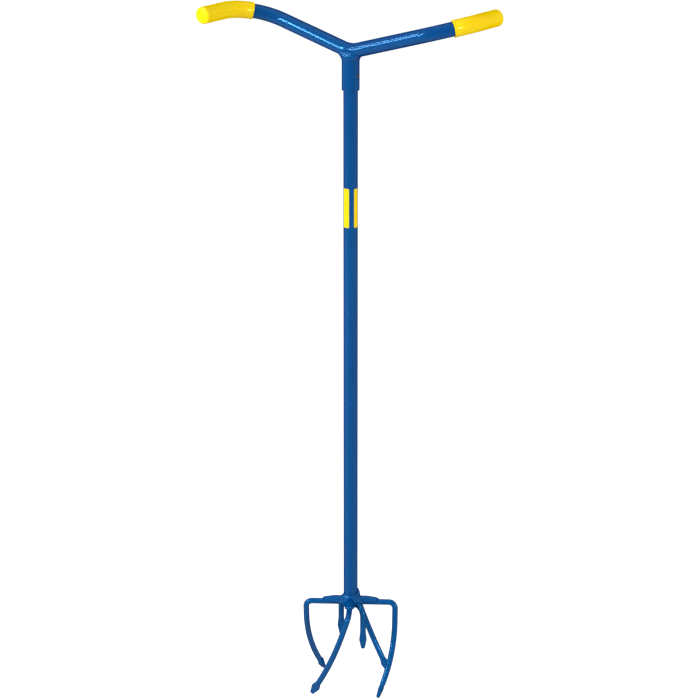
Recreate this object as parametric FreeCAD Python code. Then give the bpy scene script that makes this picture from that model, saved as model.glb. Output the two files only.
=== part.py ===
"""Twist tiller: a garden claw on a long shaft, turned by a bent cross handle.

Millimetres. Z is up and is the shaft's axis; the claw's lowest points stand at Z = 0.
X runs along the bars of the left and right tines. Half a turn about Z lays the whole
claw and the handle on themselves, so the second of each pair is a turned copy.
"""
import FreeCAD
import Part
import math
import os

V = FreeCAD.Vector
UP = V(0, 0, 1)
ORIGIN = V(0, 0, 0)

# ---- driving dimensions -------------------------------------------------------------
# shaft
shaft_od = 20.0
shaft_wall = 1.5
# handle tube
handle_od = 20.0
handle_wall = 1.5
handle_height = 924.2        # point of the V, where the two arms' centre lines would cross
arm_azimuth = -28.4          # degrees from +X, seen from above
arm_span = 161.6             # level distance from the shaft's axis to the arm's corner
arm_rise = 16.56             # degrees above level
sweep_azimuth = 54.9         # degrees from +X, direction of the level end that carries the grip
sweep_span = 99.2            # from the corner to the tube's end
vee_bend = 40.0              # centre-line radius at the bottom of the V
sweep_bend = 63.0            # centre-line radius where the arm turns into the grip
# grips
grip_wall = 1.75
grip_length = 93.0           # along the centre line, closed end included
grip_end_wall = 2.5
grip_edge_round = 2.5
grip_lip_height = 0.45       # how far the lip stands above the grip
grip_lip_width = 1.8
grip_clearance = 0.05
# socket that joins the handle to the shaft
sleeve_wall = 2.1
sleeve_clearance = 0.1       # radial, over the shaft
sleeve_length = 54.9         # from the handle tube's centre line down to the mouth
sleeve_edge_round = 1.0
sleeve_ear_drop = 5.0        # from the handle tube's centre line to the ears beside it
shaft_top_gap = 3.0          # from the shaft's top to the underside of the handle tube
weld_leg = 4.0               # weld between the socket and the handle tube
weld_gap = 0.05              # between a weld and what it joins
# snap button and its spring
button_lift = 20.0           # from the socket's mouth to the button's axis
button_diameter = 6.0
button_clearance = 0.1       # radial, in the shaft's hole
button_mouth_clearance = 0.3 # radial, in the socket's hole
button_recess = 0.2          # from the top of the dome to the socket's outer surface
button_dome = 1.2
spring_width = 6.0
spring_thickness = 0.6
spring_clearance = 0.1
spring_head = 6.0            # legs above the button's axis
spring_drop = 26.0           # from the button's axis to where the bend starts
# claw bars
bar_d = 8.3
bar_level = 126.05           # height of the level bars' centre lines
bar_joint_gap = 0.1          # between a bar's coped end and the shaft
tine_bend = 9.0
tine_reach = 63.6            # shaft's axis to the outer tines' legs
leg_lean = 18.6              # degrees from upright, in the turning direction
leg_straight = 17.8
leg_curve = 236.2            # radius of the leg's long curve
leg_length = 130.1           # from the bend to the point
leg_curl = 64.4              # degrees: how far the long curve turns in toward the shaft
# short inner tines
inner_front_azimuth = -54.5
inner_front_reach = 32.6
inner_rear_azimuth = 119.0   # the two short tines are set by hand, not quite opposite
inner_rear_reach = 30.4
inner_bend = 13.5
inner_length = 47.6          # from the bend to the point
# forged spear points
spear_length = 25.0
spear_width = 12.8
spear_thickness = 5.2
spear_shoulder = 13.0        # from the shoulders to the blunt end
spear_nose = 4.2             # width at the blunt end
inner_spear_length = 33.0
inner_spear_width = 10.8
# pressed plate over the bars
plate_gauge = 2.4            # thickness of the sheet
plate_edge = 2.0             # height of the sheet's lower edge above the bars' centre lines
plate_seat_gap = 0.15        # between the plate and the bars
plate_shaft_gap = 0.1
arm_width = 13.0
arm_rise_centre = 2.4        # centre of the arch above the bars' centre lines
arm_reach = 38.0             # shaft's axis to an arm's tip
arm_drape = 14.0             # length over which an arm comes down on to its bar
arm_tip_round = 7.5          # radius of the tip, seen from above
web_corner = 23.0            # radius of the hollow between two arms
web_dome_foot = 17.5         # radius at which the web starts to rise to the shaft
web_dome_rise = 6.6          # how far it rises there
# welds at the hub
shaft_weld_leg = 2.6
shaft_run_width = 4.2        # run of weld up the shaft above the right arm, at its foot
shaft_run_height = 12.5
root_bead = 4.5              # radius of the bead that joins the bars under the hub
root_bead_drop = 1.5         # bead's centre below the bars' centre lines
tack_radius = 2.6


def direction(azimuth, rise=0.0):
    """Unit vector at an azimuth from +X and an angle above level, both in degrees."""
    a = math.radians(azimuth)
    r = math.radians(rise)
    return V(math.cos(a) * math.cos(r), math.sin(a) * math.cos(r), math.sin(r))


def turned(shape, degrees):
    """A copy of the shape, turned about the shaft's axis."""
    copy = shape.copy()
    copy.rotate(ORIGIN, UP, degrees)
    return copy


def joined(pieces):
    """One solid from pieces that meet."""
    whole = pieces[0]
    if len(pieces) > 1:
        whole = whole.fuse(pieces[1:])
    return whole.removeSplitter()


# ---- bent rods and tubes ------------------------------------------------------------
class Run:
    """Straight part of a bent rod's centre line."""

    def __init__(self, start, heading, length):
        self.start = start
        self.heading = heading
        self.length = length

    def end(self):
        return self.start + self.heading * self.length

    def end_heading(self):
        return self.heading

    def solid(self, radius):
        return Part.makeCylinder(radius, self.length, self.start, self.heading)

    def tail(self, length):
        return Run(self.end() - self.heading * length, self.heading, length)


class Bend:
    """Circular part of a bent rod's centre line, curving towards a unit vector `side`."""

    def __init__(self, start, heading, side, radius, angle):
        self.start = start
        self.heading = heading
        self.side = side
        self.radius = radius
        self.angle = angle
        self.length = radius * math.radians(angle)
        self.centre = start + side * radius
        self.axis = heading.cross(side)

    def carried(self, vector, angle):
        return FreeCAD.Rotation(self.axis, angle).multVec(vector)

    def end(self):
        return self.centre + self.carried(self.start - self.centre, self.angle)

    def end_heading(self):
        return self.carried(self.heading, self.angle)

    def solid(self, radius):
        circle = Part.makeCircle(radius, self.start, self.heading)
        disc = Part.Face(Part.Wire(circle))
        return disc.revolve(self.centre, self.axis, self.angle)

    def tail(self, length):
        part = math.degrees(length / self.radius)
        spare = self.angle - part
        start = self.centre + self.carried(self.start - self.centre, spare)
        heading = self.carried(self.heading, spare)
        side = self.carried(self.side, spare)
        return Bend(start, heading, side, self.radius, part)


def rod(path, radius):
    """Solid round rod along a list of runs and bends."""
    return joined([piece.solid(radius) for piece in path])


def bent_path(corners, radii):
    """Runs and bends through corner points, each inner corner rounded by its radius."""
    path = []
    start = corners[0]
    for i in range(1, len(corners) - 1):
        into = (corners[i] - corners[i - 1]).normalize()
        out = (corners[i + 1] - corners[i]).normalize()
        angle = math.degrees(into.getAngle(out))
        setback = radii[i - 1] * math.tan(math.radians(angle) / 2)
        bend_start = corners[i] - into * setback
        side = (out - into * out.dot(into)).normalize()
        bend = Bend(bend_start, into, side, radii[i - 1], angle)
        path.append(Run(start, into, (bend_start - start).Length))
        path.append(bend)
        start = bend.end()
    last = corners[-1] - start
    path.append(Run(start, last.normalize(), (corners[-1] - start).Length))
    return path


def path_tail(path, length):
    """The last `length` of a path."""
    kept = []
    left = length
    for piece in reversed(path):
        if piece.length >= left:
            kept.insert(0, piece.tail(left))
            break
        kept.insert(0, piece)
        left -= piece.length
    return kept


# ---- handle -------------------------------------------------------------------------
def handle_path():
    """Centre line of the cross handle, from the left grip's end to the right one's."""
    vee = V(0, 0, handle_height)
    arm = direction(arm_azimuth) * arm_span
    corner = vee + arm + UP * (arm_span * math.tan(math.radians(arm_rise)))
    tip = corner + direction(sweep_azimuth) * sweep_span
    half_turn = FreeCAD.Rotation(UP, 180)
    corners = [half_turn.multVec(tip), half_turn.multVec(corner), vee, corner, tip]
    return bent_path(corners, [sweep_bend, vee_bend, sweep_bend])


def longer(path, extra):
    """The same path, run on past both ends."""
    first = path[0]
    last = path[-1]
    grown_first = Run(first.start - first.heading * extra, first.heading, first.length + extra)
    grown_last = Run(last.start, last.heading, last.length + extra)
    return [grown_first] + path[1:-1] + [grown_last]


def make_handle_tube():
    path = handle_path()
    outer = rod(path, handle_od / 2)
    bore = rod(longer(path, 1.0), handle_od / 2 - handle_wall)
    return outer.cut(bore)


def make_grip():
    """Grip on the right end: a closed sleeve with a rounded end and a thin lip at its mouth."""
    path = handle_path()
    tube_length = grip_length - grip_end_wall
    covered = path_tail(path, tube_length)
    last = covered[-1]
    shell_path = covered[:-1] + [Run(last.start, last.heading, last.length + grip_end_wall)]
    outer_radius = handle_od / 2 + grip_clearance + grip_wall
    outer = rod(shell_path, outer_radius)
    end_edges = [e for e in outer.Edges if is_ring_at(e, shell_path[-1].end(), outer_radius)]
    outer = outer.makeFillet(grip_edge_round, end_edges)
    mouth = covered[0]
    lip_radius = grip_lip_width / 2
    lip_ring = outer_radius + grip_lip_height - lip_radius
    lip = Part.makeTorus(lip_ring, lip_radius, mouth.start + mouth.heading * lip_radius, mouth.heading)
    bore = rod(path_tail(path, tube_length + 1.0), handle_od / 2 + grip_clearance)
    return joined([outer, lip]).cut(bore)


def is_ring_at(edge, centre, radius):
    """True for a full circle of this centre and radius."""
    curve = edge.Curve
    if not hasattr(curve, "Radius") or not hasattr(curve, "Center"):
        return False
    return (curve.Center - centre).Length < 0.01 and abs(curve.Radius - radius) < 0.01


# ---- socket -------------------------------------------------------------------------
sleeve_bore = shaft_od / 2 + sleeve_clearance
sleeve_radius = sleeve_bore + sleeve_wall
vee_sag = vee_bend * (1 / math.cos(math.radians(arm_rise)) - 1)
handle_centre = handle_height + vee_sag
sleeve_bottom = handle_centre - sleeve_length
button_height = sleeve_bottom + button_lift


def sleeve_blank():
    """Outside of the socket tube, up to the ears beside the handle tube."""
    height = handle_centre - sleeve_ear_drop - sleeve_bottom
    return Part.makeCylinder(sleeve_radius, height, V(0, 0, sleeve_bottom))


def make_sleeve():
    """Socket tube: a round-edged mouth below, a saddle cut for the handle tube above."""
    blank = sleeve_blank()
    bottom = [e for e in blank.Edges if is_ring_at(e, V(0, 0, sleeve_bottom), sleeve_radius)]
    blank = blank.makeFillet(sleeve_edge_round, bottom)
    bore = Part.makeCylinder(sleeve_bore, handle_centre - sleeve_bottom + 2, V(0, 0, sleeve_bottom - 1))
    saddle = rod(handle_path()[1:-1], handle_od / 2 + weld_gap)
    mouth = button_axis_cylinder(button_diameter / 2 + button_mouth_clearance, sleeve_radius + 5)
    return blank.cut([bore, saddle, mouth])


def oval(height, along, across):
    """Level oval round the shaft's axis, long along the handle's arms."""
    centre = V(0, 0, handle_centre + height)
    far = centre + direction(arm_azimuth) * along
    side = centre + direction(arm_azimuth + 90) * across
    return Part.Wire(Part.Ellipse(far, side, centre).toShape())


def make_sleeve_weld():
    """Weld that closes the joint: from the socket's wall it flares out under both arms."""
    flush = sleeve_radius + weld_gap
    rings = [
        oval(-handle_od / 2 - weld_leg, flush + 0.02, flush + 0.01),
        oval(-handle_od / 2 + 0.5, flush + weld_leg * 0.5, flush + 0.7),
        oval(-handle_od * 0.3, flush + weld_leg * 1.4, flush + 0.5),
        oval(0, flush + weld_leg * 3, handle_od / 2 + 0.3),
    ]
    flare = Part.makeLoft(rings, True, False)
    tube = rod(handle_path()[1:-1], handle_od / 2 + weld_gap)
    top = handle_centre - sleeve_ear_drop + weld_gap
    socket = Part.makeCylinder(flush, top - sleeve_bottom, V(0, 0, sleeve_bottom))
    return flare.cut([tube, socket])


# ---- snap button --------------------------------------------------------------------
def button_axis_cylinder(radius, reach, start=0.0):
    """Cylinder along the button's axis, outwards from `start` to `reach`."""
    out = direction(arm_azimuth)
    foot = V(0, 0, button_height) + out * start
    return Part.makeCylinder(radius, reach - start, foot, out)


shaft_bore = shaft_od / 2 - shaft_wall
spring_face = math.sqrt((shaft_bore - spring_clearance) ** 2 - (spring_width / 2) ** 2)


def make_button():
    """Round button with a domed head, standing on the spring's leg."""
    radius = button_diameter / 2
    top = sleeve_radius - button_recess
    dome_radius = (radius ** 2 + button_dome ** 2) / (2 * button_dome)
    shank = button_axis_cylinder(radius, top, spring_face)
    centre = V(0, 0, button_height) + direction(arm_azimuth) * (top - dome_radius)
    ball = Part.makeSphere(dome_radius, centre)
    foot = button_axis_cylinder(radius, top - button_dome, spring_face)
    return joined([foot, shank.common(ball)])


def make_button_spring():
    """Flat spring bent into a U: one leg under the button, the other against the far wall."""
    inner = spring_face - spring_thickness
    bend_z = button_height - spring_drop
    leg_top = button_height + spring_head
    half = spring_width / 2
    ring = Part.makeCylinder(spring_face, spring_width, V(0, half, bend_z), V(0, -1, 0))
    hollow = Part.makeCylinder(inner, spring_width, V(0, half, bend_z), V(0, -1, 0))
    upper = Part.makeBox(4 * shaft_od, spring_width, shaft_od, V(-2 * shaft_od, -half, bend_z))
    bend = ring.cut([hollow, upper])
    size = leg_top - bend_z
    leg = Part.makeBox(spring_thickness, spring_width, size, V(inner, -half, bend_z))
    far_leg = Part.makeBox(spring_thickness, spring_width, size, V(-spring_face, -half, bend_z))
    return turned(joined([bend, leg, far_leg]), arm_azimuth)


# ---- shaft --------------------------------------------------------------------------
shaft_foot = bar_level - bar_d / 2
shaft_top = handle_centre - handle_od / 2 - shaft_top_gap


def make_shaft():
    height = shaft_top - shaft_foot
    outer = Part.makeCylinder(shaft_od / 2, height, V(0, 0, shaft_foot))
    bore = Part.makeCylinder(shaft_bore, height + 2, V(0, 0, shaft_foot - 1))
    hole = button_axis_cylinder(button_diameter / 2 + button_clearance, shaft_od)
    return outer.cut([bore, hole])


# ---- claw ---------------------------------------------------------------------------
def spear(start, heading, flat_normal, length, width):
    """Forged point: the round bar is pinched and spread to two shoulders, then tapers to a blunt nose."""
    normal = (flat_normal - heading * flat_normal.dot(heading)).normalize()
    wide = heading.cross(normal).normalize()
    half_bar = bar_d / 2
    half_thick = spear_thickness / 2
    neck = length - spear_shoulder

    def ring_at(distance, across, through):
        centre = start + heading * distance
        ellipse = Part.Ellipse(centre + wide * across, centre + normal * through, centre)
        return Part.Wire(ellipse.toShape())

    root = ring_at(0, half_bar, half_bar * (1 - 1e-8))
    pinch = ring_at(neck * 0.45, half_bar * 0.99, half_bar * 0.85)
    spread = ring_at(neck * 0.8, (half_bar + width) / 3, half_thick * 1.14)
    shoulder = ring_at(neck, width / 2, half_thick)
    nose = ring_at(length, spear_nose / 2, half_thick * 0.8)
    swell = Part.makeLoft([root, pinch, spread, shoulder], True, False)
    taper = Part.makeLoft([shoulder, nose], True, True)
    return swell.fuse(taper)


def tine_path():
    """Centre line of the right outer tine, from the shaft to the start of its spear."""
    out = V(1, 0, 0)
    turning = V(0, -1, 0)
    lean = math.radians(leg_lean)
    curl = math.radians(leg_curl)
    down = turning * math.sin(lean) - UP * math.cos(lean)
    level = turning * math.cos(lean) + UP * math.sin(lean)
    inward = level * math.cos(curl) - out * math.sin(curl)
    root = V(0, 0, bar_level)
    bar = Run(root, out, tine_reach - tine_bend)
    bend = Bend(bar.end(), out, down, tine_bend, 90)
    straight = Run(bend.end(), down, leg_straight)
    curved = leg_length - leg_straight - spear_length
    blade = Bend(straight.end(), down, inward, leg_curve, math.degrees(curved / leg_curve))
    return [bar, bend, straight, blade]


def shaft_cope():
    """The shaft's outside with the joint's gap, to cut the bars' ends to its round."""
    return Part.makeCylinder(shaft_od / 2 + bar_joint_gap, 4 * bar_d, V(0, 0, bar_level - 2 * bar_d))


def make_outer_tine():
    """Right outer tine: a bar bent down and curled, coped at the shaft, with its spear."""
    path = tine_path()
    bar = rod(path, bar_d / 2)
    tip = path[-1]
    point = spear(tip.end(), tip.end_heading(), V(1, 0, 0), spear_length, spear_width)
    return joined([bar.cut(shaft_cope()), point])


def make_inner_tine(azimuth, reach):
    """Short inner tine: a bar bent straight down, with a long slim spear."""
    out = direction(azimuth)
    down = V(0, 0, -1)
    root = V(0, 0, bar_level)
    bar = Run(root, out, reach - inner_bend)
    bend = Bend(bar.end(), out, down, inner_bend, 90)
    leg = Run(bend.end(), down, inner_length - inner_spear_length)
    point = spear(leg.end(), down, out, inner_spear_length, inner_spear_width)
    cope = [shaft_cope()]
    for k in range(4):
        cope.append(Part.makeCylinder(bar_d / 2 + bar_joint_gap, tine_reach, root, direction(90 * k)))
    return joined([rod([bar, bend, leg], bar_d / 2).cut(cope), point])


# ---- plate --------------------------------------------------------------------------
def arch_outline(reach, lift, radius):
    """Section across an arm: an arch on straight sides that reach below the sheet's edge."""
    centre = V(reach, 0, bar_level + lift)
    left = centre + V(0, radius, 0)
    right = centre - V(0, radius, 0)
    crown = centre + UP * radius
    curve = Part.Arc(left, crown, right).toShape()
    skirt = UP * bar_d / 2
    base = Part.makePolygon([right, right - skirt, left - skirt, left])
    return Part.Wire([curve] + base.Edges)


def arch_solid(level_radius, tip_radius, overshoot):
    """An arm as a solid arch: level near the shaft, then coming down on to the bar at its tip."""
    drape = arm_reach - arm_drape
    share = 1 + overshoot / arm_drape
    lift = arm_rise_centre * (1 - share)
    radius = level_radius + (tip_radius - level_radius) * share
    middle = arch_outline(drape, arm_rise_centre, level_radius)
    last = arch_outline(arm_reach + overshoot, lift, radius)
    level = Part.Face(middle).extrude(V(-drape, 0, 0))
    down = Part.makeLoft([middle, last], True, True)
    return joined([level, down])


def arm_outside():
    tip = bar_d / 2 + plate_seat_gap + plate_gauge
    return arch_solid(arm_width / 2, tip, 0)


def arm_hollow():
    """Space under an arm: it narrows on to the bar at the tip."""
    return arch_solid(arm_width / 2 - plate_gauge, bar_d / 2 + plate_seat_gap, 1.0)


def cross_outline():
    """Plan of the plate: four arms with round tips and wide round hollows between them."""
    half = arm_width / 2
    corner = half + web_corner
    mid = corner - web_corner * math.sqrt(0.5)
    tip_start = arm_reach - arm_tip_round + math.sqrt(arm_tip_round ** 2 - half ** 2)
    edges = []
    for k in range(4):
        turn = FreeCAD.Rotation(UP, 90 * k)
        low = turn.multVec(V(tip_start, -half, 0))
        tip = turn.multVec(V(arm_reach, 0, 0))
        high = turn.multVec(V(tip_start, half, 0))
        start = turn.multVec(V(corner, half, 0))
        hollow = turn.multVec(V(mid, mid, 0))
        end = turn.multVec(V(half, corner, 0))
        after = turn.multVec(V(half, tip_start, 0))
        edges.append(Part.Arc(low, tip, high).toShape())
        edges.append(Part.LineSegment(high, start).toShape())
        edges.append(Part.Arc(start, hollow, end).toShape())
        edges.append(Part.LineSegment(end, after).toShape())
    return Part.Wire(Part.__sortEdges__(edges))


def ring(profile):
    """Turned solid from points (radius, height above the bars' centre lines)."""
    points = [V(r, 0, bar_level + z) for r, z in profile]
    face = Part.Face(Part.makePolygon(points + [points[0]]))
    return face.revolve(ORIGIN, UP, 360)


plate_top = plate_edge + plate_gauge + web_dome_rise


def make_web():
    """Sheet between the arms: flat at its rim, rising as a cone to the shaft, hollow below."""
    shaft = shaft_od / 2
    rim = arm_reach + plate_gauge
    flat = plate_edge + plate_gauge
    slope = web_dome_rise / (web_dome_foot - shaft)
    inside = plate_gauge * math.sqrt(1 + slope ** 2)
    inside_top = plate_top - inside
    inside_foot = shaft + (inside_top - plate_edge) / slope
    sheet = ring([(0, plate_edge), (rim, plate_edge), (rim, flat), (web_dome_foot, flat),
                  (shaft, plate_top), (0, plate_top)])
    below = ring([(0, 0), (inside_foot, 0), (inside_foot, plate_edge), (shaft, inside_top), (0, inside_top)])
    return sheet, below


def make_plate():
    """Pressed cross: arches over the four outer bars, webs rising to the shaft."""
    web, dome_hollow = make_web()
    arms = [turned(arm_outside(), 90 * k) for k in range(4)]
    plan = Part.Face(cross_outline())
    plan.translate(V(0, 0, bar_level + plate_edge))
    pressed = joined(arms + [web]).common(plan.extrude(UP * 4 * bar_d))
    hollows = [turned(arm_hollow(), 90 * k) for k in range(4)]
    for azimuth in (inner_front_azimuth, inner_rear_azimuth):
        out = direction(azimuth)
        hollows.append(Part.makeCylinder(bar_d / 2 + plate_seat_gap, arm_reach, V(0, 0, bar_level), out))
    bore = Part.makeCylinder(shaft_od / 2 + plate_shaft_gap, 8 * bar_d, V(0, 0, bar_level - 4 * bar_d))
    return pressed.cut(hollows + [dome_hollow, bore])


# ---- hub welds ----------------------------------------------------------------------
def make_shaft_weld(plate):
    """Fillet round the shaft on the plate, with a run up the shaft above the right arm."""
    inner = shaft_od / 2 + weld_gap
    leg = shaft_weld_leg
    base = plate_top - leg
    bead = ring([(inner - 1, base), (inner + leg, base), (inner + leg, plate_top - leg * 0.8),
                 (inner + leg * 0.4, plate_top + leg * 0.1), (inner - 1, plate_top + leg)])
    foot = V(inner, 0, bar_level + base)
    half_run = shaft_run_height / 2
    low = Part.makeCone(shaft_run_width, shaft_run_width * 0.8, half_run, foot, UP)
    high = Part.makeCone(shaft_run_width * 0.8, shaft_run_width * 0.25, half_run, foot + UP * half_run, UP)
    tube = Part.makeCylinder(inner, 6 * bar_d, V(0, 0, bar_level - 3 * bar_d))
    return joined([bead, low, high]).cut([tube, plate])


def make_root_weld(plate, bars):
    """Bead under the hub, in the corners between the bars and the shaft."""
    inner = shaft_od / 2 + weld_gap
    r = root_bead
    mid = -root_bead_drop
    bead = ring([(inner - 1, mid - r), (inner + r * 0.4, mid - r * 0.9), (inner + r * 0.9, mid - r * 0.4),
                 (inner + r, mid), (inner + r * 0.9, mid + r * 0.4), (inner - 1, mid + r * 0.9)])
    tube = Part.makeCylinder(inner, 4 * bar_d, V(0, 0, bar_level - 2 * bar_d))
    return bead.cut([tube, plate] + bars)


def make_arm_tacks(plate, bars):
    """Small bead on each bar at the end of its arm."""
    seat = V(arm_reach + 0.3, 0, bar_level + bar_d / 2 - 0.6)
    beads = []
    for k in range(4):
        bead = turned(Part.makeSphere(tack_radius, seat), 90 * k)
        beads.append(bead.cut([plate] + bars))
    return Part.makeCompound(beads)


# ---- the parts ----------------------------------------------------------------------
def build():
    outer_tine = make_outer_tine()
    plate = make_plate()
    grip = make_grip()
    parts = {
        "shaft_tube": make_shaft(),
        "handle_tube": make_handle_tube(),
        "grip_right": grip,
        "grip_left": turned(grip, 180),
        "socket_sleeve": make_sleeve(),
        "sleeve_weld": make_sleeve_weld(),
        "snap_button": make_button(),
        "button_spring": make_button_spring(),
        "tine_plate": plate,
        "shaft_weld": make_shaft_weld(plate),
    }
    tines = {
        "tine_right": outer_tine,
        "tine_rear": turned(outer_tine, 90),
        "tine_left": turned(outer_tine, 180),
        "tine_front": turned(outer_tine, 270),
        "inner_tine_front": make_inner_tine(inner_front_azimuth, inner_front_reach),
        "inner_tine_rear": make_inner_tine(inner_rear_azimuth, inner_rear_reach),
    }
    bars = list(tines.values())
    parts.update(tines)
    parts["root_weld"] = make_root_weld(plate, bars)
    parts["arm_tacks"] = make_arm_tacks(plate, bars)
    return parts


def main():
    os.makedirs("parts", exist_ok=True)
    for name, shape in build().items():
        shape.exportStep("parts/" + name + ".step")
        box = shape.BoundBox
        print(name, len(shape.Solids), shape.isValid(), round(shape.Volume, 1),
              round(box.ZMin, 2), round(box.ZMax, 2))


main()
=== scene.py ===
# %% [markdown]
# # A twist tiller
# A twist tiller is a garden claw on a long shaft. The gardener sets the spear points on the soil,
# leans on the bent cross handle and turns it, and the curved tines screw themselves in and lift the
# earth. This lesson dresses the bare solids of the tool: blue enamel over steel, yellow dipped
# vinyl on the grips, hand-laid weld beads, forged spear points and a small snap button in dark
# steel, painted shade that stands in for the shadow of its hole.
# Everything is in metres, Z is up, and the points of the claw stand on Z = 0.

# %% Load the solids
import math

import bmesh
import bpy
import numpy as np
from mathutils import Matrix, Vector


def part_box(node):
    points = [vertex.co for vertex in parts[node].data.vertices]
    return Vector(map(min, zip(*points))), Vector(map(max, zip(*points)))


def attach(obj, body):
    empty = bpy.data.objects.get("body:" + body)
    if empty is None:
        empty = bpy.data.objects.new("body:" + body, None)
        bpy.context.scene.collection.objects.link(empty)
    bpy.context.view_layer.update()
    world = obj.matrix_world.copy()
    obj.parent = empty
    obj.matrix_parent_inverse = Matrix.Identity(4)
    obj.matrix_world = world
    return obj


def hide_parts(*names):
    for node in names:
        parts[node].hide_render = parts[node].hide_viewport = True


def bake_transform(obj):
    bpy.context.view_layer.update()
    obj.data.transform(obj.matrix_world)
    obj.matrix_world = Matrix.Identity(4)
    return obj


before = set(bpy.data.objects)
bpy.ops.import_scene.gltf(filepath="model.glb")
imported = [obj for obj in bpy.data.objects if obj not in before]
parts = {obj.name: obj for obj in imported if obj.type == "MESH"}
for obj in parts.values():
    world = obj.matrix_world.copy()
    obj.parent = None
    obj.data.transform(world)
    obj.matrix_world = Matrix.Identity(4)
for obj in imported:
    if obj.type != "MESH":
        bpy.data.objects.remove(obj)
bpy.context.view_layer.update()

# %% [markdown]
# ## The camera
# A long lens far away keeps the shaft's edges nearly parallel, as in a catalogue picture. The
# camera looks down by about 17 degrees, so that both the handle's sweep and the claw's cross plate
# show. The alternative, a short lens close by, would make the handle much larger than the claw.

# %% Camera
FILM, LENS = 36.0, 159.11                   # millimetres
CAMERA_PLACE = (0.2102, -4.0971, 1.7942)    # metres
CAMERA_TILT, CAMERA_TURN = 72.516, 2.949    # degrees up from straight down, and to the left

camera_data = bpy.data.cameras.new("camera")
camera_data.sensor_fit = "HORIZONTAL"
camera_data.sensor_width = FILM
camera_data.lens = LENS
camera_data.clip_end = 60.0
camera = bpy.data.objects.new("camera", camera_data)
bpy.context.scene.collection.objects.link(camera)
camera.location = CAMERA_PLACE
camera.rotation_euler = (math.radians(CAMERA_TILT), 0.0, math.radians(CAMERA_TURN))
bpy.context.scene.camera = camera
bpy.context.scene.view_settings.view_transform = "Standard"
print("camera", round(camera_data.lens, 1), "mm lens,", round(camera.location.length, 2), "m away")

# %% [markdown]
# ## Room: floor and air
# The tool stands on a plain white floor in a white room. What the camera sees of the room is white
# by its own colour, so no lamp has to burn it out. Both materials ask Light Path what kind of ray
# comes in: a ray from the camera, and one that a mirror or a clear surface sends on, sees the white
# room, so that gloss and metal show the same background as the camera does. Every other ray carries
# light to the tool, and for those the room is dimmer, which leaves the lamps to shape it.

# %% Room helpers
ROOM_WHITE = 1.0     # what the camera, gloss and glass see
ROOM_LIGHT = 0.30    # what lights the tool
FLOOR_MATT = 0.55    # the floor's own white, which takes the shadow
FLOOR_GLOW = 0.86    # lifts it to paper white
FLOOR_HALF = 5.5     # half the floor's side, in metres
FLOOR_DROP = 0.0004  # metres under the points of the claw, so that the two never share a plane


def link(tree, a, b):
    tree.links.new(a, b)


def looks_at_room(tree):
    """1 for a ray from the camera, from gloss or through glass, and 0 for one that lights."""
    path = tree.nodes.new("ShaderNodeLightPath")
    total = path.outputs["Is Camera Ray"]
    for kind in ("Is Glossy Ray", "Is Transmission Ray"):
        either = tree.nodes.new("ShaderNodeMath")
        either.operation = "MAXIMUM"
        link(tree, total, either.inputs[0])
        link(tree, path.outputs[kind], either.inputs[1])
        total = either.outputs[0]
    return total


def by_ray(tree, low, high):
    """Strength that is `high` for a ray that looks at the room and `low` for one that lights."""
    strength = tree.nodes.new("ShaderNodeMapRange")
    strength.inputs["To Min"].default_value = low
    strength.inputs["To Max"].default_value = high
    link(tree, looks_at_room(tree), strength.inputs["Value"])
    return strength.outputs["Result"]


# %% Air
world = bpy.data.worlds.new("white room")
bpy.context.scene.world = world
world.use_nodes = True
air_tree = world.node_tree
air_tree.nodes.clear()
air = air_tree.nodes.new("ShaderNodeBackground")
air.inputs["Color"].default_value = (1, 1, 1, 1)
air_out = air_tree.nodes.new("ShaderNodeOutputWorld")
link(air_tree, by_ray(air_tree, ROOM_LIGHT, ROOM_WHITE), air.inputs["Strength"])
link(air_tree, air.outputs[0], air_out.inputs["Surface"])
print("air: seen", ROOM_WHITE, "light", ROOM_LIGHT)

# %% Floor


def floor_white():
    """Matt white plus a glow that only looking rays see, so that the tool's shadow stays."""
    m = bpy.data.materials.new("floor white")
    m.use_nodes = True
    t = m.node_tree
    t.nodes.clear()
    matt = t.nodes.new("ShaderNodeBsdfDiffuse")
    matt.inputs["Color"].default_value = (FLOOR_MATT, FLOOR_MATT, FLOOR_MATT, 1)
    glow = t.nodes.new("ShaderNodeEmission")
    both = t.nodes.new("ShaderNodeAddShader")
    out = t.nodes.new("ShaderNodeOutputMaterial")
    link(t, by_ray(t, 0.0, FLOOR_GLOW), glow.inputs["Strength"])
    link(t, matt.outputs[0], both.inputs[0])
    link(t, glow.outputs[0], both.inputs[1])
    link(t, both.outputs[0], out.inputs["Surface"])
    return m


h, low = FLOOR_HALF, -FLOOR_DROP
floor_mesh = bpy.data.meshes.new("floor")
floor_mesh.from_pydata([(-h, -h, low), (h, -h, low), (h, h, low), (-h, h, low)], [],
                       [(0, 1, 2, 3)])
floor_mesh.materials.append(floor_white())
floor = bpy.data.objects.new("floor", floor_mesh)
bpy.context.scene.collection.objects.link(floor)
print("floor", 2 * FLOOR_HALF, "m square")

# %% [markdown]
# ## Lamps
# A round tube shows a lamp as a long thin streak, and a bent bar shows it as a spark in each bend,
# so the lamps decide how the tool reads. A straight tube can only show a lamp that stands on one
# cone round it, and each of the three tall narrow strip boxes on the left crosses the cone of one
# arm of the handle. A small box to the right of the camera gives the second spark in each bend.
# These four have small faces, so that they glitter in the thin clear skin of the paint. Two large
# dim panels, above and to the right, soften the side that the strips leave dark. All of them
# together, with the room's own light, stay at a plain level at which a colour comes out about as
# it is mixed.

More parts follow.
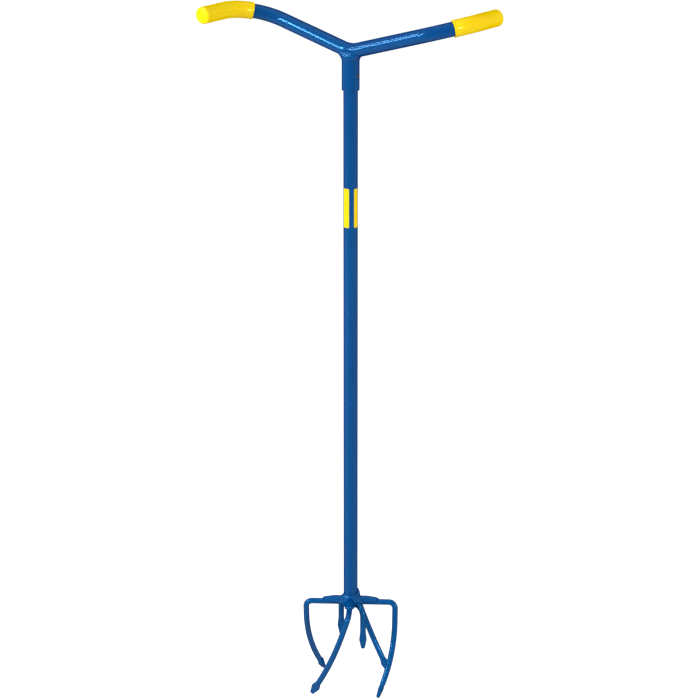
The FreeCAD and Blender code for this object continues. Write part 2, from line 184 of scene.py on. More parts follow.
# %% Lamps
# Each row: name, side in degrees from the camera, height and distance in metres, the face's width
# and height in metres, power in watts, and the height on the shaft's axis that the face looks at.
LAMPS = (
    ("strip left", -56, 1.66, 2.6, 0.11, 1.50, 25, 0.5),
    ("strip far left", -82, 1.80, 2.6, 0.13, 1.50, 26, 0.5),
    ("strip mid left", -69, 1.42, 2.6, 0.11, 1.40, 23, 0.5),
    ("box right", 36, 1.50, 3.0, 0.42, 0.50, 42, 0.5),
    ("panel above", 0, 3.40, 0.3, 2.40, 2.40, 10, 0.0),
    ("panel right", 60, 1.20, 3.2, 2.00, 2.00, 10, 0.5))

to_camera = np.array(camera.location[:2])
to_camera = to_camera / np.linalg.norm(to_camera)
to_right = np.array([-to_camera[1], to_camera[0]])


def lamp(name, side, height, distance, width, tall, power, aim_height):
    """Soft box at `side` degrees from the camera, positive to the right, seen from the tool. The
    tangent of its tilt is the aim's fall over its level run, and that of its turn is -x over y."""
    a = math.radians(side)
    flat = (to_camera * math.cos(a) + to_right * math.sin(a)) * distance
    data = bpy.data.lights.new(name, "AREA")
    data.shape = "RECTANGLE"
    data.size = width
    data.size_y = tall
    data.energy = power
    o = bpy.data.objects.new(name, data)
    bpy.context.scene.collection.objects.link(o)
    o.location = (flat[0], flat[1], height)
    aim = np.array([0.0, 0.0, aim_height]) - np.array(o.location)
    drop = math.atan2(aim[2], math.hypot(aim[0], aim[1]))
    o.rotation_euler = (math.radians(90) + drop, 0.0, math.atan2(-aim[0], aim[1]))
    print("lamp", name, "side", side, "power", power)


for lamp_row in LAMPS:
    lamp(*lamp_row)

# %% [markdown]
# ## Blue enamel
# The steel is sprayed with a gloss enamel and baked. Wet paint levels itself, but not quite: its
# skin keeps a very shallow, millimetre-wide ripple that painters call orange peel, and the blue
# drifts a little where the coat is thicker. So the finish has three details: two near blues that
# mix in slow clouds, a roughness that wanders, and the ripple as a bump. The gloss is sharp and no
# stronger than that of plain paint: a stronger one would mirror the white room and wash the blue
# out. A blue tint on the gloss keeps the mirrored room blue, and the gloss fades towards the tube's
# outline, where a plain mirror would turn the edge white. All patterns read Object coordinates, so
# they stay on the steel when a piece moves.

# %% Finish helpers
PATTERN_LOW, PATTERN_HIGH = 0.3, 0.7    # most of a cloud pattern lies between these
FADE_FROM, FADE_TO = 0.22, 0.52         # how far a surface turns away while its gloss fades


def srgb(r, g, b):
    """Colour written as on a paint card, 0 to 255, turned into the linear values of light."""
    c = np.array([r, g, b], float) / 255
    lin = np.where(c <= 0.04045, c / 12.92, ((c + 0.055) / 1.055) ** 2.4)
    return (float(lin[0]), float(lin[1]), float(lin[2]), 1.0)


def new_material(name):
    """Empty material with one Principled surface. Returns it, its tree, surface and coordinates."""
    m = bpy.data.materials.new(name)
    m.use_nodes = True
    t = m.node_tree
    t.nodes.clear()
    out = t.nodes.new("ShaderNodeOutputMaterial")
    surface = t.nodes.new("ShaderNodeBsdfPrincipled")
    link(t, surface.outputs[0], out.inputs["Surface"])
    return m, t, surface, t.nodes.new("ShaderNodeTexCoord")


def noise(t, coord, scale, detail):
    """Soft cloud pattern with `scale` clouds to the metre."""
    n = t.nodes.new("ShaderNodeTexNoise")
    n.inputs["Scale"].default_value = scale
    n.inputs["Detail"].default_value = detail
    link(t, coord.outputs["Object"], n.inputs["Vector"])
    return n.outputs[0]


def carry_over(t, value, from_range, to_range):
    """Value carried over from one range to another, new low + (value - low) (new width / width),
    and held inside the new range."""
    r = t.nodes.new("ShaderNodeMapRange")
    r.inputs["From Min"].default_value, r.inputs["From Max"].default_value = from_range
    r.inputs["To Min"].default_value, r.inputs["To Max"].default_value = to_range
    link(t, value, r.inputs["Value"])
    return r.outputs["Result"]


def spread(t, pattern, low, high):
    """A cloud pattern stretched over the range from low to high."""
    return carry_over(t, pattern, (PATTERN_LOW, PATTERN_HIGH), (low, high))


def two_colours(t, pattern, first, second):
    """Mix of two colours, first + share (second - first), with the pattern as the share."""
    mix = t.nodes.new("ShaderNodeMix")
    mix.data_type = "RGBA"
    mix.inputs["A"].default_value = first
    mix.inputs["B"].default_value = second
    link(t, spread(t, pattern, 0, 1), mix.inputs["Factor"])
    return mix.outputs["Result"]


def ripple(t, pattern, height, strength):
    """Bump `height` metres deep."""
    b = t.nodes.new("ShaderNodeBump")
    b.inputs["Strength"].default_value = strength
    b.inputs["Distance"].default_value = height
    link(t, pattern, b.inputs["Height"])
    return b.outputs["Normal"]


def edge_fade(t, facing, grazing):
    """Gloss that fades from `facing` to `grazing` as the surface turns away from the eye. The turn
    is 0 where the surface faces the eye and 1 at the outline."""
    turn = t.nodes.new("ShaderNodeLayerWeight")
    turn.inputs["Blend"].default_value = 0.5
    return carry_over(t, turn.outputs["Facing"], (FADE_FROM, FADE_TO), (facing, grazing))


def coat(name, first, second, clouds, wander, dull, grain, relief, gloss, tint):
    """Paint or plastic in two near colours. The patterns of the colour (clouds), the roughness
    (wander) and the bump (grain) each have a number to the metre and a detail. `dull` is the range
    of the roughness, `relief` the bump's depth in metres and strength, and `gloss` its level facing
    the eye and at the outline."""
    m, t, s, c = new_material(name)
    link(t, two_colours(t, noise(t, c, *clouds), first, second), s.inputs["Base Color"])
    link(t, spread(t, noise(t, c, *wander), *dull), s.inputs["Roughness"])
    link(t, ripple(t, noise(t, c, *grain), *relief), s.inputs["Normal"])
    link(t, edge_fade(t, *gloss), s.inputs["Specular IOR Level"])
    s.inputs["Specular Tint"].default_value = tint
    return m


def paint(names, finish):
    """Gives the named solids one finish in place of what they have."""
    for name in names:
        parts[name].data.materials.clear()
        parts[name].data.materials.append(finish)
    print(finish.name, "on", len(names), "solids")


# %% Enamel


def enamel(name, deep, light):
    return coat(name, deep, light, clouds=(14.0, 3.0), wander=(60.0, 3.0), dull=(0.08, 0.13),
                grain=(420.0, 1.0), relief=(0.00002, 0.04), gloss=(0.50, 0.0),
                tint=(0.12, 0.50, 1.0, 1.0))


enamel_shaft = enamel("blue enamel shaft", srgb(0, 63, 124), srgb(0, 69, 132))
enamel_claw = enamel("blue enamel claw", srgb(0, 70, 130), srgb(0, 77, 140))
paint(("shaft_tube", "handle_tube", "socket_sleeve", "sleeve_weld"), enamel_shaft)
paint([name for name in parts if "tine" in name] + ["shaft_weld", "root_weld", "arm_tacks"],
      enamel_claw)

# %% [markdown]
# ## Yellow vinyl
# Each end of the handle was warmed and dipped in liquid vinyl, or had a thick vinyl cap pushed on.
# Vinyl is softer than enamel, so its gloss is wider, and its skin has a fine grain. The grain is a
# bump far finer than the enamel's ripple, and the yellow drifts slightly towards orange where the
# skin is thicker. Its gloss is tinted and fades towards the outline, as the enamel's does.

# %% Vinyl
yellow = coat("yellow vinyl", srgb(255, 222, 0), srgb(255, 214, 0), clouds=(22.0, 2.0),
              wander=(90.0, 2.0), dull=(0.13, 0.20), grain=(1500.0, 2.0), relief=(0.00002, 0.4),
              gloss=(0.40, 0.0), tint=(1.0, 0.85, 0.30, 1.0))
paint(("grip_right", "grip_left"), yellow)

# %% [markdown]
# ## Dark and spring steel
# The snap button's steel is made dark as painted shade: it stands in for the shadow inside the
# sleeve's hole round it. The leaf spring inside the shaft is plain spring steel. Bare metal has no
# colour of its own under the gloss, only tinted mirrors, so these are fully metallic, with a fine
# drawn grain that breaks up the mirror.

# %% Metals
DRAWN, SCRATCHES = (500.0, 3.0), (2500.0, 2.0)    # number to the metre, and detail
METAL_DULL = (0.25, 0.40)                         # range of the roughness
SCRATCH_RELIEF = (0.00001, 0.5)                   # metres deep, and strength


def steel(name, pale, dark):
    """Bare metal whose drawn grain sets both its colour and its roughness."""
    m, t, s, c = new_material(name)
    grain = noise(t, c, *DRAWN)
    link(t, two_colours(t, grain, pale, dark), s.inputs["Base Color"])
    link(t, spread(t, grain, *METAL_DULL), s.inputs["Roughness"])
    link(t, ripple(t, noise(t, c, *SCRATCHES), *SCRATCH_RELIEF), s.inputs["Normal"])
    s.inputs["Metallic"].default_value = 1.0
    return m


# The button's steel is dark as painted shade: it stands for the shadow in the hole round it.
painted_shade_steel = steel("dark steel as painted hole shade", srgb(78, 80, 84), srgb(56, 58, 62))
spring_steel = steel("spring steel", srgb(150, 152, 155), srgb(120, 122, 126))
paint(["snap_button"], painted_shade_steel)

# %% [markdown]
# ## Surfaces from numbers
# A bent tube, a dipped grip and a forged tine are all one idea: a section carried along a centre
# line. Curves with a bevel could do it, but they give little say over how a section changes, so the
# points are worked out as whole arrays. One function builds a centre line from straight runs and
# arcs, one finds the points and headings at given distances along it, one carries a section along
# it, and one skins the rows of points with faces and closes both ends. Lengths are in millimetres
# until the skin is made.

# %% Surface helpers
MM = 0.001
AROUND = 56          # points round a bar
EVERY = 0.4          # millimetres between the points of a centre line


def unit(v):
    v = np.asarray(v, float)
    return v / np.linalg.norm(v, axis=-1, keepdims=True)


def direction(azimuth, rise=0.0):
    """Unit vector: azimuth in degrees from +X towards +Y, rise in degrees above level."""
    a, r = math.radians(azimuth), math.radians(rise)
    return np.array([math.cos(a) * math.cos(r), math.sin(a) * math.cos(r), math.sin(r)])


def centre_line(start, ahead, moves):
    """Centre line made of moves (length, radius, towards). With no radius it runs straight on.
    With a radius R it bends: point = start + ahead R sin(t/R) + side R (1 - cos(t/R))."""
    runs = [np.asarray(start, float)[None]]
    for length, radius, towards in moves:
        t = np.linspace(0, length, max(2, int(length / EVERY) + 1))[1:, None]
        base = runs[-1][-1]
        if radius is None:
            runs.append(base + ahead * t)
            continue
        side = unit(towards - ahead * (towards @ ahead))
        runs.append(base + ahead * radius * np.sin(t / radius)
                    + side * radius * (1 - np.cos(t / radius)))
        turn = length / radius
        ahead = ahead * math.cos(turn) + side * math.sin(turn)
    return np.vstack(runs)


def stations(line, s):
    """Points and headings at the distances s along a line, and the line's length. Past either end
    it runs straight on."""
    d = np.r_[0, np.cumsum(np.linalg.norm(np.diff(line, axis=0), axis=1))]
    slope = unit(np.gradient(line, d, axis=0))
    at = np.stack([np.interp(s, d, line[:, k]) for k in range(3)], 1)
    ahead = unit(np.stack([np.interp(s, d, slope[:, k]) for k in range(3)], 1))
    return at + ahead * (s - np.clip(s, 0, d[-1]))[:, None], ahead, d[-1]


def length_of(line):
    return stations(line, np.zeros(1))[2]


def carried(line, s, wide, thick, up, power=2.0, around=AROUND):
    """Rows of points: at distance s the section is x = wide |cos|^(2/p), y = thick |sin|^(2/p),
    with the signs of cos and sin. p = 2 is round or oval, a larger p is a flat bar with round
    edges."""
    at, ahead, _ = stations(line, s)
    normal = unit(up - ahead * (ahead * up).sum(1, keepdims=True))
    across = np.cross(ahead, normal)
    a = np.linspace(0, 2 * np.pi, around, endpoint=False)
    e = (2 / np.broadcast_to(power, s.shape))[:, None]
    x = np.broadcast_to(wide, s.shape)[:, None] * np.sign(np.cos(a)) * np.abs(np.cos(a)) ** e
    y = np.broadcast_to(thick, s.shape)[:, None] * np.sign(np.sin(a)) * np.abs(np.sin(a)) ** e
    return at[:, None] + across[:, None] * x[..., None] + normal[:, None] * y[..., None]


def skin(name, rows, finish, stands_for=(), ring=False, crease=35, bends=()):
    """Closed mesh piece from rows of points in millimetres. Each row is a loop; neighbouring rows
    are joined by quads, and each end is a fan to the row's middle. With `ring` the last row joins
    the first instead. The sign of the volume, the sum of a . (b x c) / 6 over the triangles, tells
    whether the faces have to be turned over. Edges sharper than `crease` degrees stay sharp."""
    m, n, _ = rows.shape
    i, j = np.meshgrid(np.arange(m if ring else m - 1), np.arange(n), indexing="ij")
    a, b = i * n + j, i * n + (j + 1) % n
    c, d = ((i + 1) % m) * n + (j + 1) % n, ((i + 1) % m) * n + j
    quads = np.stack([a, b, c, d], -1).reshape(-1, 4)
    points = rows.reshape(-1, 3)
    faces = quads.tolist()
    tris = np.vstack([quads[:, [0, 1, 2]], quads[:, [0, 2, 3]]])
    if not ring:
        points = np.vstack([points, rows[0].mean(0), rows[-1].mean(0)])
        k = np.arange(n)
        k2 = (k + 1) % n
        first = np.stack([np.full(n, m * n), k2, k], -1)
        last = np.stack([np.full(n, m * n + 1), (m - 1) * n + k, (m - 1) * n + k2], -1)
        faces += first.tolist() + last.tolist()
        tris = np.vstack([tris, first, last])
    p = points[tris]
    if np.einsum("ij,ij->i", p[:, 0], np.cross(p[:, 1], p[:, 2])).sum() / 6 < 0:
        faces = [f[::-1] for f in faces]
    mesh = bpy.data.meshes.new(name)
    mesh.from_pydata((points * MM).tolist(), [], faces)
    mesh.polygons.foreach_set("use_smooth", np.ones(len(faces), bool))
    mesh.set_sharp_from_angle(angle=math.radians(crease))
    piece(name, mesh, finish, stands_for, bends)


def piece(name, mesh, finish, stands_for, bends=()):
    """Object for a finished mesh, riding on the tiller's body and shown in place of the bare solids
    that `stands_for` names. With `bends` it rides on no body, and its place is baked into its
    points; the two points are not used."""
    o = bpy.data.objects.new(name, mesh)
    bpy.context.scene.collection.objects.link(o)
    mesh.materials.clear()
    mesh.materials.append(finish)
    if bends:
        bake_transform(o)
    else:
        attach(o, "tiller")
    if stands_for:
        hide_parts(*stands_for)
    print(name, len(mesh.polygons), "faces")


# %% [markdown]
# ## The cross handle
# One length of tube is bent up from the middle into a wide V, and near each end it is swept round
# so that the two hands push in opposite directions as the tool turns. The centre line is worked out
# from the corner points: at each corner the arc of the bend's radius touches both runs. The wall is
# real: the section runs out along the outside and back along the bore.

# %% Handle
HANDLE_R, HANDLE_BORE = 10.0, 8.5
VEE = np.array([0.0, 0.0, 924.2])
ARM_AZIMUTH, ARM_SPAN, ARM_RISE = -28.4, 161.6, 16.56
SWEEP_AZIMUTH, SWEEP_SPAN = 54.9, 99.2
VEE_BEND, SWEEP_BEND = 40.0, 63.0
RIGHT_TRIM = 6.0     # the right end was cut a little shorter than the left
HANDLE_ROWS = 420    # rows along the outside, and as many along the bore
UP = np.array([0.0, 0.0, 1.0])
HALF_TURN = np.array([-1.0, -1.0, 1.0])    # turns a point half round about the shaft's axis


def through(corners, radii):
    """Start, heading and moves of a line through corner points. At a corner that turns by an angle
    a, the arc of radius R starts R tan(a/2) before it and is R a long."""
    moves, start = [], corners[0]
    first = unit(corners[1] - corners[0])
    for k, radius in enumerate(radii):
        into, out = unit(corners[k + 1] - corners[k]), unit(corners[k + 2] - corners[k + 1])
        angle = math.acos(into @ out)
        setback = radius * math.tan(angle / 2)
        moves.append((np.linalg.norm(corners[k + 1] - start) - setback, None, None))
        moves.append((radius * angle, radius, out))
        start = corners[k + 1] + out * setback
    moves.append((np.linalg.norm(corners[-1] - start), None, None))
    return corners[0], first, moves


arm_corner = (VEE + direction(ARM_AZIMUTH) * ARM_SPAN
              + UP * ARM_SPAN * math.tan(math.radians(ARM_RISE)))
left_tip = (arm_corner + direction(SWEEP_AZIMUTH) * SWEEP_SPAN) * HALF_TURN
right_tip = arm_corner + direction(SWEEP_AZIMUTH) * (SWEEP_SPAN - RIGHT_TRIM)
handle_line = centre_line(*through(
    [left_tip, arm_corner * HALF_TURN, VEE, arm_corner, right_tip],
    [SWEEP_BEND, VEE_BEND, SWEEP_BEND]))
handle_length = length_of(handle_line)
out_and_back = np.r_[np.linspace(0, handle_length, HANDLE_ROWS),
                     np.linspace(handle_length, 0, HANDLE_ROWS)]
walls = np.r_[np.full(HANDLE_ROWS, HANDLE_R), np.full(HANDLE_ROWS, HANDLE_BORE)]
skin("cross_handle", carried(handle_line, out_and_back, walls, walls, UP), enamel_shaft,
     ["handle_tube"], ring=True)
print("handle line", round(handle_length, 1), "mm long")

# %% [markdown]
# ## The grips
# A dipped grip is thickest where the vinyl ran to the end: the end face bulges a little inside a
# round rim. At its mouth the cut edge stands up as a thin bead. The grip is a shape of revolution
# carried along the bent tube, from a list of distances and radii that runs from the middle of the
# end face, over the rim and along the outside to the bead, and back along the tube to the inside of
# the end wall. A very slow swell of two hundredths of a millimetre keeps it from looking turned.

# %% Grips
GRIP_LENGTHS = (("right", 84.0), ("left", 92.5))
GRIP_R, GRIP_SEAT, GRIP_WALL_END = 11.8, 10.05, 2.5
RIM_ROUND, BEAD_HIGH, BEAD_WIDE = 2.5, 0.45, 1.8
END_BULGE = 0.7
PINHOLE = 0.4                        # radius of the first and the last row, which a fan closes
BODY_UNDER = 0.03                    # the body's radius is this much less, before the swell
SWELL, SWELL_RATE = 0.02, 0.21       # height, and radians to the millimetre
NECK_DEEP, NECK_LONG = 0.05, 1.2     # small hollow before the bead
BODY_STOP = 1.2                      # bead widths from the mouth back to the end of the body
BEAD_FOOT = 0.15                     # the bead starts this far under the grip's radius
LIP_DEEP = 0.6                       # the mouth's face starts this far under the grip's radius
WALL_OVER = 0.05                     # the end wall reaches this far over the end of the tube


def quarter(n):
    return np.linspace(0, np.pi / 2, n)


def grip_profile(length):
    """Distances in from the end wall's outside, and radii. The rim is a quarter circle of radius
    c: distance c (1 - cos), radius c sin. The body's radius swells by SWELL sin(rate x distance),
    and the bead is half an ellipse."""
    face = np.linspace(PINHOLE, GRIP_R - RIM_ROUND, 12)
    rim = quarter(14)
    body = np.linspace(END_BULGE + RIM_ROUND, length - BEAD_WIDE * BODY_STOP, 150)[1:]
    swell = SWELL * np.sin(body * SWELL_RATE)
    neck = NECK_DEEP * np.exp(-((body - body[-1]) / NECK_LONG) ** 2)
    bead = np.linspace(0, np.pi, 16)
    inside = np.linspace(length - 1, GRIP_WALL_END + WALL_OVER, 60)
    legs = (
        (END_BULGE * (face / face[-1]) ** 2, face),
        (END_BULGE + RIM_ROUND * (1 - np.cos(rim)), GRIP_R - RIM_ROUND + RIM_ROUND * np.sin(rim)),
        (body, GRIP_R - BODY_UNDER + swell - neck),
        (length - BEAD_WIDE / 2 - BEAD_WIDE / 2 * np.cos(bead),
         GRIP_R - BEAD_FOOT + (BEAD_HIGH + BEAD_FOOT) * np.sin(bead)),
        ([length, length, length - 0.2], [GRIP_R - LIP_DEEP, GRIP_SEAT + 0.2, GRIP_SEAT]),
        (inside, np.full(60, GRIP_SEAT)),
        (np.full(4, GRIP_WALL_END + WALL_OVER), np.linspace(GRIP_SEAT, PINHOLE, 5)[1:]))
    return np.concatenate([d for d, _ in legs]), np.concatenate([r for _, r in legs])


for side, grip_length in GRIP_LENGTHS:
    inwards, radius = grip_profile(grip_length)
    along = inwards - GRIP_WALL_END
    if side == "right":
        along = handle_length + GRIP_WALL_END - inwards
    skin("vinyl_grip_" + side, carried(handle_line, along, radius, radius, UP, around=72), yellow,
         ["grip_" + side])

# %% [markdown]
# ## The forged tines
# Each tine is one length of round bar. It leaves the hub level, turns down in a tight bend, and
# curls as it falls. The smith heats its end, hammers it flat, which spreads it to two shoulders,
# and trims it to a blunt spear. So the section changes along the bar: round, then wider and thinner
# with flat faces, then narrowing to the nose. One rule gives width, thickness and flatness for
# every distance, for the four long tines and, with other numbers, for the two short ones.

# %% Tine helpers
BAR_R, BAR_LEVEL = 4.15, 126.05
BAR_FOOT = 9.8                         # the bar starts in the shaft's wall
BAR_STEP, SPEAR_ROWS = 0.8, 70         # millimetres between rows of the bar, rows of the spear
NOSE_HALF, BLADE_HALF_THICK = 2.6, 2.7
TAPER_THIN = 0.5                       # what the taper takes off the blade's half thickness
NOSE_ROUND = 2                         # millimetres at the end that are rounded over
NOSE_WIDE, NOSE_THICK = 0.45, 0.3      # share of width and thickness that the rounding spares
SHOULDER_START = 0.30                  # share of the neck that keeps the bar's width
BAR_POWER, BLADE_POWER = 2.0, 1.1      # the section's power in the bar, and what the blade adds
BLADE_TWIST = math.radians(20)    # the hammer turned each blade a little out of the radial plane


def ease(x):
    """0 below 0, 1 above 1, and x^2 (3 - 2x) between."""
    x = np.clip(x, 0, 1)
    return x * x * (3 - 2 * x)


def tine_rows(line, bend_end, out, spear, shoulder, half_width):
    """Round bar from the shaft's wall, then the spear: its width eases out from the bar to the
    shoulders and runs straight in to the nose, whose end is rounded over by sqrt(1 - x^2). The
    blade's thickness points outwards; round the bend that direction turns with the bar."""
    total = length_of(line) + spear
    nose = total - NOSE_ROUND
    s = np.r_[np.arange(BAR_FOOT, total - spear, BAR_STEP),
              np.linspace(total - spear, nose, SPEAR_ROWS)]
    s = np.r_[s, nose + NOSE_ROUND * np.sin(quarter(10)[1:-1]), total - 0.001]
    t = s - (total - spear)
    neck = spear - shoulder
    flat = ease(t / neck)
    taper = np.clip((t - neck) / shoulder, 0, 1)
    spread_out = ease((t - SHOULDER_START * neck) / ((1 - SHOULDER_START) * neck))
    wide = BAR_R + (half_width - BAR_R) * spread_out
    wide = wide + (NOSE_HALF - half_width) * taper
    thick = BAR_R + (BLADE_HALF_THICK - BAR_R) * flat - TAPER_THIN * taper
    past = np.clip(t - (spear - NOSE_ROUND), 0, NOSE_ROUND) / NOSE_ROUND
    over = np.sqrt(np.clip(1 - past ** 2, 0.02, 1))
    wide = wide * (NOSE_WIDE + (1 - NOSE_WIDE) * over)
    thick = thick * (NOSE_THICK + (1 - NOSE_THICK) * over)
    _, ahead, _ = stations(line, s)
    hinge = unit(np.cross(out, ahead[np.searchsorted(s, bend_end)]))
    up = np.where((s < bend_end)[:, None], np.cross(ahead, hinge), out)
    side = unit(np.cross(ahead, up))
    up = unit(np.cross(side, ahead))
    twist = (BLADE_TWIST * ease(t / neck))[:, None]
    up = up * np.cos(twist) + side * np.sin(twist)
    return carried(line, s, wide, thick, up, BAR_POWER + BLADE_POWER * flat)


def turned(rows, degrees):
    """Rows turned about the shaft's axis: x' = x cos - y sin, y' = x sin + y cos."""
    c, q = math.cos(math.radians(degrees)), math.sin(math.radians(degrees))
    return rows @ np.array([[c, q, 0], [-q, c, 0], [0, 0, 1]])


# %% Long tines
REACH, BEND, LEAN = 63.6, 9.0, math.radians(18.6)
LEG_STRAIGHT, LEG_CURVE, LEG_LENGTH, CURL = 17.8, 236.2, 130.1, math.radians(64.4)
SPEAR, SHOULDER, SPEAR_HALF = 25.0, 13.0, 6.4
outward, turning = np.array([1.0, 0, 0]), np.array([0, -1.0, 0])
down = turning * math.sin(LEAN) - UP * math.cos(LEAN)
level = turning * math.cos(LEAN) + UP * math.sin(LEAN)
tine_line = centre_line((0, 0, BAR_LEVEL), outward, [
    (REACH - BEND, None, None), (BEND * math.pi / 2, BEND, down), (LEG_STRAIGHT, None, None),
    (LEG_LENGTH - LEG_STRAIGHT - SPEAR, LEG_CURVE,
     level * math.cos(CURL) - outward * math.sin(CURL))])
long_rows = tine_rows(tine_line, REACH - BEND + BEND * math.pi / 2, outward, SPEAR, SHOULDER,
                      SPEAR_HALF)
for k, where in enumerate(("right", "rear", "left", "front")):
    skin("forged_tine_" + where, turned(long_rows, 90 * k), enamel_claw,
         ["tine_" + where], crease=50)

# %% Short tines
SHORT_BEND, SHORT_LENGTH, SHORT_SPEAR, SHORT_HALF = 13.5, 47.6, 33.0, 5.4
SHORT_TINES = (("front", -54.5, 32.6), ("rear", 119.0, 30.4))    # place, azimuth, reach
for where, azimuth, reach in SHORT_TINES:
    out = direction(azimuth)
    short_line = centre_line((0, 0, BAR_LEVEL), out, [
        (reach - SHORT_BEND, None, None), (SHORT_BEND * math.pi / 2, SHORT_BEND, -UP),
        (SHORT_LENGTH - SHORT_SPEAR, None, None)])
    rows = tine_rows(short_line, reach - SHORT_BEND + SHORT_BEND * math.pi / 2, out, SHORT_SPEAR,
                     SHOULDER, SHORT_HALF)
    skin("short_tine_" + where, rows, enamel_claw, ["inner_tine_" + where],
         crease=50)

# %% [markdown]
# ## Pressed plate and weld beads
# The cross plate is pressed from sheet, so its edges are rolled over, and each weld bead froze as a
# row of small waves, one for each pulse of the torch. Their outlines follow the parts that they
# join, which is more than a formula on a grid can hold. So each one starts from a copy of its bare
# solid: its loose faces are merged, a Remesh wraps it in small even ones, and a smoothing rolls its
# edges. Where a bead runs round the shaft, numpy then moves its points along their normals by a
# wave. The plate and the small tacks at the ends of its arms have no wave.

# %% Skins over bare solids
MEAN_WAVE = 0.64                    # about the mean of |cos|, so that a bead keeps its size
WOBBLE, WOBBLE_RATE = 0.6, 1.1      # millimetres, and radians to the millimetre of height


def evened(node, cell, rounds):
    """Mesh of a node in faces about `cell` millimetres wide, smoothed `rounds` times."""
    source = bpy.data.objects.new("source", parts[node].data.copy())
    bpy.context.scene.collection.objects.link(source)
    b = bmesh.new()
    b.from_mesh(source.data)
    bmesh.ops.remove_doubles(b, verts=b.verts, dist=1e-6)
    b.to_mesh(source.data)
    b.free()
    remesh = source.modifiers.new("even faces", "REMESH")
    remesh.mode = "VOXEL"
    remesh.voxel_size = cell * MM
    soften = source.modifiers.new("rolled edges", "SMOOTH")
    soften.factor = 0.5
    soften.iterations = rounds
    dressed = source.evaluated_get(bpy.context.evaluated_depsgraph_get())
    mesh = bpy.data.meshes.new_from_object(dressed)
    bpy.data.objects.remove(source)
    mesh.polygons.foreach_set("use_smooth", np.ones(len(mesh.polygons), bool))
    return mesh


def torch_waves(mesh, radius, pitch, depth):
    """Moves each point along its normal by depth (|cos(pi t / pitch)| - mean), where t is the
    distance round the shaft, with a small wobble that changes with the height."""
    p = np.empty(len(mesh.vertices) * 3)
    n = np.empty(len(mesh.vertices) * 3)
    mesh.vertices.foreach_get("co", p)
    mesh.vertices.foreach_get("normal", n)
    p, n = p.reshape(-1, 3), n.reshape(-1, 3)
    wobble = WOBBLE * np.sin(p[:, 2] / MM * WOBBLE_RATE)
    t = np.arctan2(p[:, 1], p[:, 0]) * radius + wobble
    wave = depth * (np.abs(np.cos(np.pi * t / pitch)) - MEAN_WAVE)
    mesh.vertices.foreach_set("co", (p + n * (wave * MM)[:, None]).ravel())
    mesh.update()


# Each row: node, piece, finish, cell in millimetres, rounds of smoothing, and the wave's radius,
# pitch and depth in millimetres.
SKINNED = (
    ("tine_plate", "pressed_cross", enamel_claw, 0.45, 5, 0, 0, 0),
    ("sleeve_weld", "socket_bead", enamel_shaft, 0.32, 8, 13.0, 1.9, 0.16),
    ("shaft_weld", "hub_bead", enamel_claw, 0.30, 8, 11.0, 1.7, 0.18),
    ("root_weld", "root_bead", enamel_claw, 0.32, 8, 13.0, 1.8, 0.18),
    ("arm_tacks", "tack_beads", enamel_claw, 0.25, 8, 0, 0, 0))
for node, name, finish, cell, rounds, radius, pitch, depth in SKINNED:
    mesh = evened(node, cell, rounds)
    if depth:
        torch_waves(mesh, radius, pitch, depth)
    piece(name, mesh, finish, [node])

# %% [markdown]
# ## The plain label
# Below the socket the shaft carries two plain yellow strips of vinyl film, with nothing printed on
# them. A strip is a thin section that wraps part of the way round the tube: out along its outer
# face and back along the tube. Its width follows a rounded corner at both ends, so it shows no
# sharp corners to lift.

# %% Label strips
FILM_IN, FILM_OUT, CORNER = 9.98, 10.07, 1.6
LABEL_LOW, LABEL_HIGH = 680.0, 735.0
LABEL_ACROSS = 40    # points across the outer face, and as many back along the tube
LABELS = (("left", -127.0, 9.6), ("right", -38.0, 7.5))    # place, azimuth, width


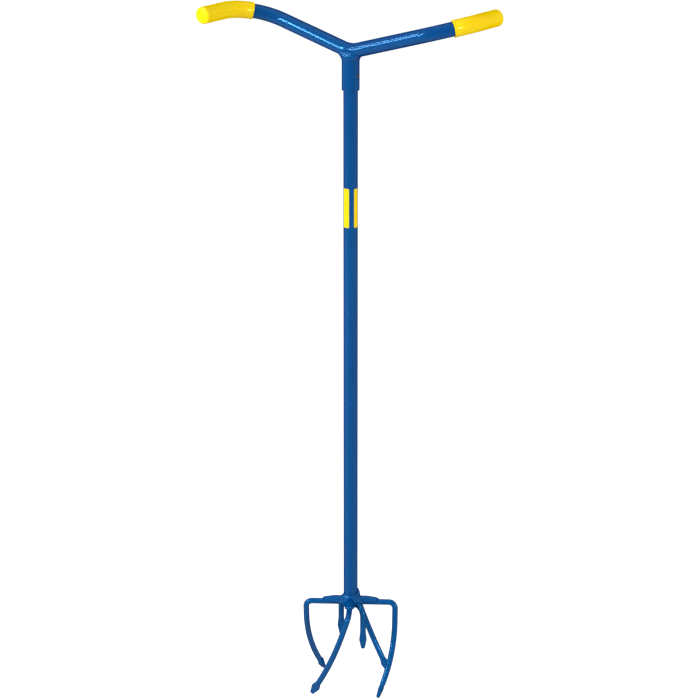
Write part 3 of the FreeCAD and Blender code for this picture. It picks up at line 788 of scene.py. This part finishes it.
def strip_rows(azimuth, width):
    """Rows up the strip. At height z within one corner radius c of an end, at a depth d from where
    the corner starts, the half width is w/2 - c + sqrt(c^2 - d^2)."""
    rise = CORNER * (1 - np.cos(quarter(8)))
    z = np.r_[LABEL_LOW + rise, np.linspace(LABEL_LOW + CORNER, LABEL_HIGH - CORNER, 12)[1:-1],
              LABEL_HIGH - rise[::-1]]
    depth = CORNER - np.minimum(np.minimum(z - LABEL_LOW, LABEL_HIGH - z), CORNER)
    half = (width / 2 - CORNER + np.sqrt(np.maximum(CORNER ** 2 - depth ** 2, 0))) / FILM_OUT
    across = np.r_[np.linspace(-1, 1, LABEL_ACROSS), np.linspace(1, -1, LABEL_ACROSS)]
    reach = np.r_[np.full(LABEL_ACROSS, FILM_OUT), np.full(LABEL_ACROSS, FILM_IN)]
    a = math.radians(azimuth) + half[:, None] * across
    return np.stack([reach * np.cos(a), reach * np.sin(a), np.broadcast_to(z[:, None], a.shape)],
                    -1)


for where, azimuth, width in LABELS:
    skin("label_strip_" + where, strip_rows(azimuth, width), yellow, crease=30)

# %% [markdown]
# ## The button's spring
# Inside the shaft stands a flat spring, bent like a hairpin: one leg is behind the button, and the
# other leans on the far wall. Pressing the button bends only the near leg, which gives way from the
# hairpin's bend upwards. So one strip is carried round the hairpin. The two points where the
# button's travel would start and where it would be whole are worked out from the ramp
# lean (x - r) + h / rise, from 0 to 1. There x is the distance outwards from the shaft's axis, r
# that of the near leg, and h the height above its foot. The lean is just enough to leave the far
# leg with no travel. The points are handed to the piece, which only bakes its place: the strip does
# not bend here.

# %% Button spring
SPRING_WIDE, SPRING_THICK, SPRING_FACE = 6.0, 0.6, 7.84
SPRING_RISE = 22.0       # height above the hairpin's bend where the leg has the whole travel
SPRING_CORNER = 8.0      # power of the strip's section: flat, with broken corners
SPRING_ROWS, SPRING_AROUND = 260, 32
lowest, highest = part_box("button_spring")
leg_top, leg_foot = highest[2] / MM, lowest[2] / MM + SPRING_FACE
outwards = direction(ARM_AZIMUTH)
spring_r = SPRING_FACE - SPRING_THICK / 2
leg = leg_top - leg_foot
hairpin = centre_line(UP * leg_top - outwards * spring_r, -UP, [
    (leg, None, None), (np.pi * spring_r, spring_r, outwards), (leg, None, None)])
along = np.linspace(0, 2 * leg + np.pi * spring_r, SPRING_ROWS)
_, ahead, _ = stations(hairpin, along)
strip = carried(hairpin, along, SPRING_WIDE / 2, SPRING_THICK / 2,
                np.cross(np.cross(outwards, UP), ahead), SPRING_CORNER, around=SPRING_AROUND)
climb = 1 / SPRING_RISE
lean = leg * climb / (2 * spring_r)
near_foot = outwards * spring_r + UP * leg_foot
whole_travel = near_foot + (outwards * lean + UP * climb) / (lean ** 2 + climb ** 2)
skin("leaf_spring", strip, spring_steel, ["button_spring"],
     bends=((near_foot * MM).tolist(), (whole_travel * MM).tolist()))
